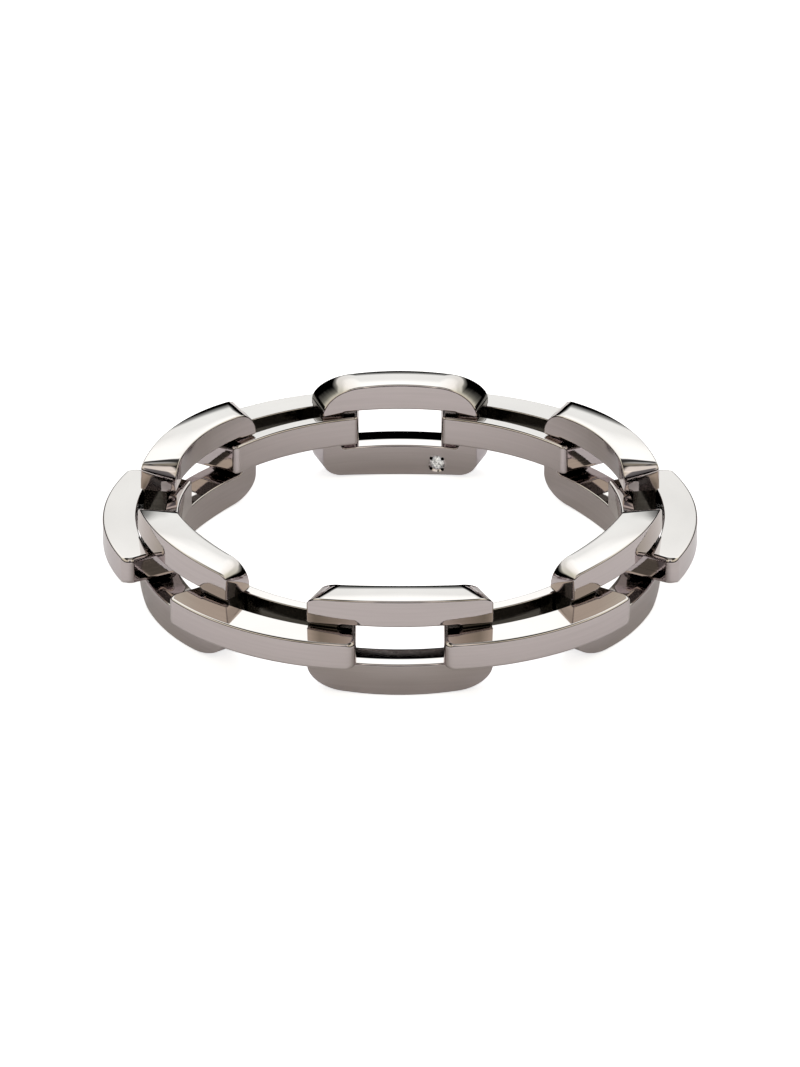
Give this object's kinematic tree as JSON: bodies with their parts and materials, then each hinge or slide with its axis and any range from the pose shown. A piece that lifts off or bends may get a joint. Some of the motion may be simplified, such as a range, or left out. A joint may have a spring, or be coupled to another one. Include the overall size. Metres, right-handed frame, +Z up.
{
  "type": "link ring",
  "caption": "Finger ring of interlocked rectangular links, standing and flat in turn, with a small round diamond set inside one link.",
  "frame": {"origin": "on the ring's axis, in the plane of its underside, as it lies on its side", "axes": "+Z up along the ring's axis; a standing link is in the middle of the front at -Y, and the link with the diamond is at the back at +Y"},
  "size_m": [0.0236, 0.0228, 0.0041],
  "materials": {
    "white_gold": "polished, warm grey white gold",
    "diamond": "cut and polished, clear"
  },
  "bodies": {
    "root": {"standing_link_1": "white_gold", "standing_link_2": "white_gold", "standing_link_3": "white_gold", "standing_link_4": "white_gold", "standing_link_5": "white_gold", "standing_link_6": "white_gold", "flat_link_1": "white_gold", "flat_link_2": "white_gold", "flat_link_3": "white_gold", "flat_link_4": "white_gold", "flat_link_5": "white_gold", "flat_link_6": "white_gold", "diamond": "diamond"}
  },
  "joints": []
}
